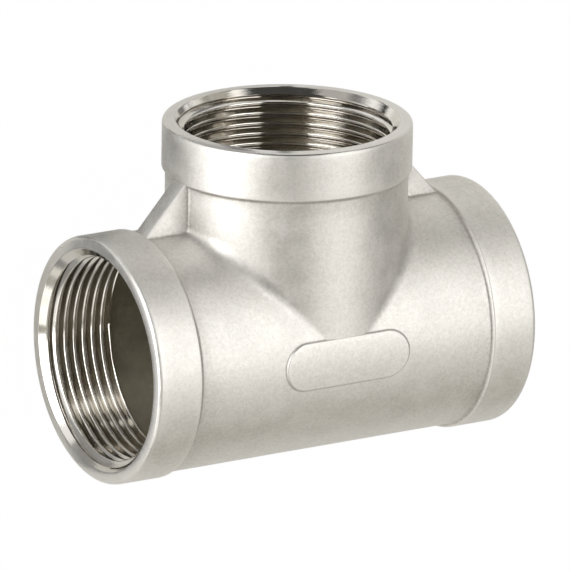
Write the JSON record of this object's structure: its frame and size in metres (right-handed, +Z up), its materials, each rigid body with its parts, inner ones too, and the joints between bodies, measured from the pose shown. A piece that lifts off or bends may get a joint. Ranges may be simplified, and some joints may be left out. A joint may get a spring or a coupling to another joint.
{
  "type": "threaded pipe tee",
  "caption": "Cast stainless steel pipe tee with equal internally threaded sockets, plain bands round the mouths and a rib in each crotch.",
  "frame": {"origin": "on the surface the tee lies on, under the middle of its bounding box", "axes": "+X along the run, +Y along the branch towards its mouth, +Z up, out of the tee's front"},
  "size_m": [0.096, 0.0754, 0.0548],
  "materials": {
    "cast_steel": "bead-blasted cast stainless steel, with machined socket faces and threads"
  },
  "bodies": {
    "root": {"tee_body": "cast_steel"}
  },
  "joints": []
}
